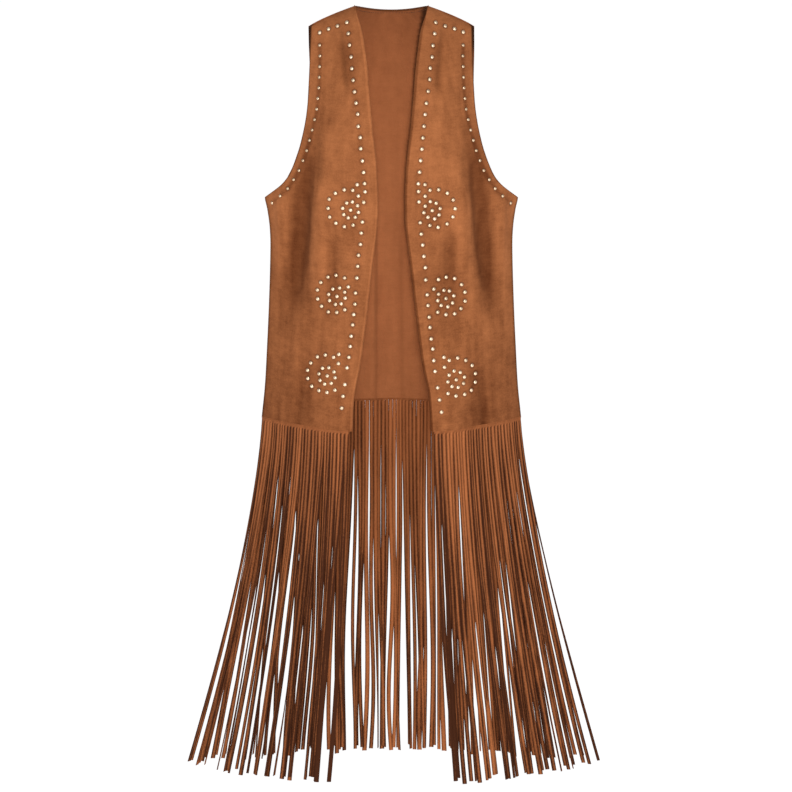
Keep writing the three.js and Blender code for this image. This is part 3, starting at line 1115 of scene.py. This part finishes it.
fringe = fringe_finish("fringe", (0.056, 0.017, 0.007, 1), (0.455, 0.147, 0.050, 1))
back_hem = [back_point(t, hem_drop)[0] for t in even(-1, 1, hem_steps)]
back_fringe = fringe_piece("fringe_back_strands", back_hem, "back", 1, fringe_seeds["back"], 1, fringe)
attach(back_fringe, "root")
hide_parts("fringe_back")

for side in sides:
    seed = fringe_seeds[side.name]
    hem = [front_point(side.folds, side.seed, t, hem_drop)[0] for t in even(0, 1, hem_steps)]
    piece = fringe_piece(f"fringe_front_{side.name}_strands", hem, "front", -1, seed, side.sign, fringe)
    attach(piece, "root")
    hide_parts(f"fringe_front_{side.name}")

# The studs: small domes of pale metal on a thin rim whose dark colour is painted shade round the stud,
# pressed through both fronts into dents that get painted shade. A row follows the open edge, the shoulder
# and the armhole, and three flowers stand beside the front row: each is a stud with eight round it,
# inside an open ring. Places are across and up as the picture shows them.
dent_radius = 0.0062
dent_depth = 0.0007
dent_shade = 0.006
groove = 0.7
stud_radius = 0.0027
stud_rim = 0.0031
stud_height = 0.0016
stud_sides = 12
stud_sunk = 0.0004
rim_height = 0.0006
armhole_stud_scale = 0.82
stud_wander = 0.0006
stud_tones = (0.6, 1.15)
small_stud_shade = 3
top_facing = 0.9
wear_layers = table_of(layer_columns, ("wear", 900, (1, 1, 1), 2, 1))
wear_rough = 0.2
wear_tone = 0.3
dull_power = 1.6
dull_share = 0.5
stud_seeds = {"left": 11, "right": 12}
dome_steps = table_of("inset rise", (0.0003, 0.45), (0.0006, 0.35), (0.0006, 0.2))
Spot = namedtuple("Spot", "up across")
front_row = table_of(
    Spot._fields,
    (-0.0178, 0.0599),
    (-0.0822, 0.0529),
    (-0.1445, 0.0459),
    (-0.2063, 0.0392),
    (-0.2473, 0.0361),
    (-0.2620, 0.0372),
    (-0.2885, 0.0394),
    (-0.3482, 0.0455),
    (-0.4040, 0.0501),
    (-0.4594, 0.0561),
    (-0.5416, 0.0678),
)
front_stretches = table_of(
    "first last studs",
    (-0.0178, -0.2361, 15),
    (-0.2473, -0.2609, 2),
    (-0.2878, -0.3633, 6),
    (-0.3840, -0.4847, 8),
    (-0.5071, -0.5388, 3),
)
shoulder_row = [Spot(-0.0229, 0.0727), Spot(-0.0272, 0.0854), Spot(-0.0313, 0.0971)]
armhole_row = table_of(
    Spot._fields,
    (-0.0490, 0.0971),
    (-0.0656, 0.0966),
    (-0.1100, 0.0984),
    (-0.1387, 0.1015),
    (-0.1668, 0.1079),
    (-0.1946, 0.1156),
    (-0.2212, 0.1260),
    (-0.2446, 0.1415),
    (-0.2622, 0.1614),
)
armhole_studs = 17
left_slip = 0.0195
slip_from = -0.25
flowers = table_of(
    "across up ring_across ring_from ring_to ring_studs links",
    (0.0550, -0.2716, 0.0060, 70, 292, 9, [(0.0093, 0.0345), (0.0099, 0.0184)]),
    (0.0732, -0.3881, 0.0022, 61, 301, 10, [(0.0153, 0.0125)]),
    (0.0872, -0.4956, 0.0018, 64, 300, 10, [(0.0166, 0.0293), (0.0158, 0.0165)]),
)
petals = 8
petal_ring = 0.0113
petal_turn = 0.32
open_ring = 0.0251
ring_up = 0.0027


def metal_finish(name, colour, roughness):
    """Worn metal, each stud of its own tone; the small ones' darker tone is painted shade."""
    finish, shader, place = new_material(name, {"Metallic": 1.0})
    wear = layered(place, wear_layers)[1]
    dull = (*(part ** dull_power * dull_share for part in colour[:3]), 1)
    feed(shader, "Roughness", roughness + wear * wear_rough)
    feed(shader, "Base Color", colour_between(kept(place, "tone") + wear * wear_tone, dull, colour))
    return finish


dome_finish = metal_finish("stud_dome", (1.0, 0.78, 0.55, 1), 0.38)
rim_finish = metal_finish("stud_rim", (0.22, 0.12, 0.07, 1), 0.5)


def one_stud():
    """A short cylinder whose top is drawn up into a dome, over a thin rim."""
    bpy.ops.mesh.primitive_cylinder_add(vertices=stud_sides, radius=stud_rim, depth=rim_height)
    stud = bpy.context.object
    stud.name = "stud"
    stud.data.materials.append(rim_finish)
    stud.data.materials.append(dome_finish)
    bpy.ops.object.mode_set(mode="EDIT")
    bpy.ops.mesh.select_all(action="DESELECT")
    bpy.ops.object.mode_set(mode="OBJECT")
    for face in stud.data.polygons:
        face.select = face.normal.z > top_facing
    bpy.ops.object.mode_set(mode="EDIT")
    bpy.ops.mesh.inset(thickness=stud_rim - stud_radius, depth=0)
    stud.active_material_index = 1
    bpy.ops.object.material_slot_assign()
    for step in dome_steps:
        bpy.ops.mesh.inset(thickness=step.inset, depth=stud_height * step.rise)
        bpy.ops.object.material_slot_assign()
    bpy.ops.object.mode_set(mode="OBJECT")
    soften(stud, small_smooth_angle)
    return stud


def flower_spots(flower):
    """A middle stud, eight petals round it, and an open ring outside them."""
    spots = [Spot(flower.up, flower.across)]
    for petal in range(petals):
        angle = math.tau * (petal + petal_turn) / petals
        up = flower.up + petal_ring * math.sin(angle)
        spots.append(Spot(up, flower.across + petal_ring * math.cos(angle)))
    for degrees in even(flower.ring_from, flower.ring_to, flower.ring_studs - 1):
        angle = math.radians(degrees)
        across = flower.across + flower.ring_across - open_ring * math.cos(angle)
        spots.append(Spot(flower.up + ring_up + open_ring * math.sin(angle), across))
    for across, up in flower.links:
        spots.append(Spot(flower.up + up, flower.across - across))
    return spots


def front_spots():
    """Every stud of one front but those along the armhole, as the picture shows them."""
    spots = list(shoulder_row)
    for stretch in front_stretches:
        for up in even(stretch.first, stretch.last, stretch.studs - 1):
            spots.append(Spot(up, read(front_row, "across", up)))
    for flower in flowers:
        spots += flower_spots(flower)
    return spots


def seat(tree, side, spot):
    """Where the line of sight through a spot meets the cloth; the left front's studs sit lower."""
    slip = left_slip * max(0.0, slip_from - spot.up) if side.sign > 0 else 0.0
    place = Vector((side.sign * spot.across, 0, 0)) + upright * (spot.up - slip)
    place += sight * camera_aim.dot(sight)
    return tree.ray_cast(eye, (place - eye).normalized())[:2]


def press_in(panel, dents):
    """Dents the cloth at each place and gives the dent painted shade."""
    tree = KDTree(len(dents))
    for index, (place, normal, depth) in enumerate(dents):
        tree.insert(place, index)
    tree.balance()
    folds = panel.data.attributes["fold"].data
    for vertex in panel.data.vertices:
        place, index, distance = tree.find(vertex.co)
        if distance < dent_radius:
            share = smooth_step(1 - distance / dent_radius) * dents[index][2]
            vertex.co -= dents[index][1] * dent_depth * share
            folds[vertex.index].value -= dent_shade * share


stud = one_stud()
for side in sides:
    pick = random.Random(stud_seeds[side.name])
    panel = fronts[side.name]
    tree = surface_tree(panel)
    seats = []
    for spot in front_spots():
        moved = Spot(*(value + pick.uniform(-stud_wander, stud_wander) for value in spot))
        seats.append((*seat(tree, side, moved), 1.0))
    total, at = measured([Vector((spot.across, 0, spot.up)) for spot in armhole_row])
    for distance in even(0, total, armhole_studs - 1):
        seats.append((*seat(tree, side, Spot(*at(distance).zx)), armhole_stud_scale))
    dents = []
    # Dents between the armhole studs too: a soft groove with painted shade.
    for distance in even(0, total, 3 * armhole_studs - 3):
        dents.append((*seat(tree, side, Spot(*at(distance).zx)), groove))
    dents += [(place, normal, 1.0) for place, normal, scale in seats]
    press_in(panel, dents)
    copies = []
    for place, normal, scale in seats:
        turn = normal.to_track_quat("Z", "Y").to_matrix().to_4x4()
        sunk = Matrix.Translation(place - normal * stud_sunk)
        copy = placed_copy(stud, sunk @ turn @ Matrix.Scale(scale, 4))
        # Smaller studs, those round the armhole, get a darker tone: painted shade.
        bright = pick.uniform(*stud_tones) * scale ** small_stud_shade
        set_values(copy.data, "tone", [bright] * len(copy.data.vertices))
        copies.append(copy)
    joined = joined_copies(copies, f"studs_{side.name}")
    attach(joined, "root")
bpy.data.objects.remove(stud)

# The studio: a wide pale floor well below the fringe, soft white light all round, a lamp beside the
# camera that reaches the inside of the back, a weaker high one, and a long lens.
floor_place = (0, 0, -1.38)
bpy.ops.mesh.primitive_circle_add(vertices=96, radius=34, fill_type="NGON", location=floor_place)
floor = bpy.context.object
floor.name = "floor"
floor_inputs = {
    "Base Color": (0.92, 0.92, 0.92, 1),
    "Roughness": 0.9,
    "Emission Color": (1, 1, 1, 1),
    "Emission Strength": 0.62,
}
floor.data.materials.append(new_material("floor", floor_inputs)[0])

world = bpy.data.worlds.new("studio")
world.use_nodes = True
background = world.node_tree.nodes["Background"]
background.inputs["Color"].default_value = (1, 1, 1, 1)
background.inputs["Strength"].default_value = 0.42
bpy.context.scene.world = world

lamps = table_of(
    "name place size power",
    ("lamp_front", (0.05, -7.8, 1.1), 0.4, 215),
    ("lamp_high", (0.1, -3.6, 1.9), 0.5, 36),
)
aim = Vector((0, 0, -0.5))


def looking(name, data, place, way):
    """A lamp or a camera at a place, looking one way."""
    holder = linked(name, data)
    holder.location = place
    holder.rotation_euler = way.to_track_quat("-Z", "Y").to_euler()
    return holder


for lamp in lamps:
    light = bpy.data.lights.new(lamp.name, "AREA")
    light.size = lamp.size
    light.energy = lamp.power
    looking(lamp.name, light, lamp.place, aim - Vector(lamp.place))

picture_width = 792
metre_per_pixel = 0.001351
sensor = 36.0
camera = bpy.data.cameras.new("camera")
camera.sensor_width = sensor
camera.lens = sensor * camera_distance / metre_per_pixel / picture_width
camera.clip_end = 100
bpy.context.scene.camera = looking("camera", camera, eye, sight)
bpy.context.scene.view_settings.view_transform = "Standard"
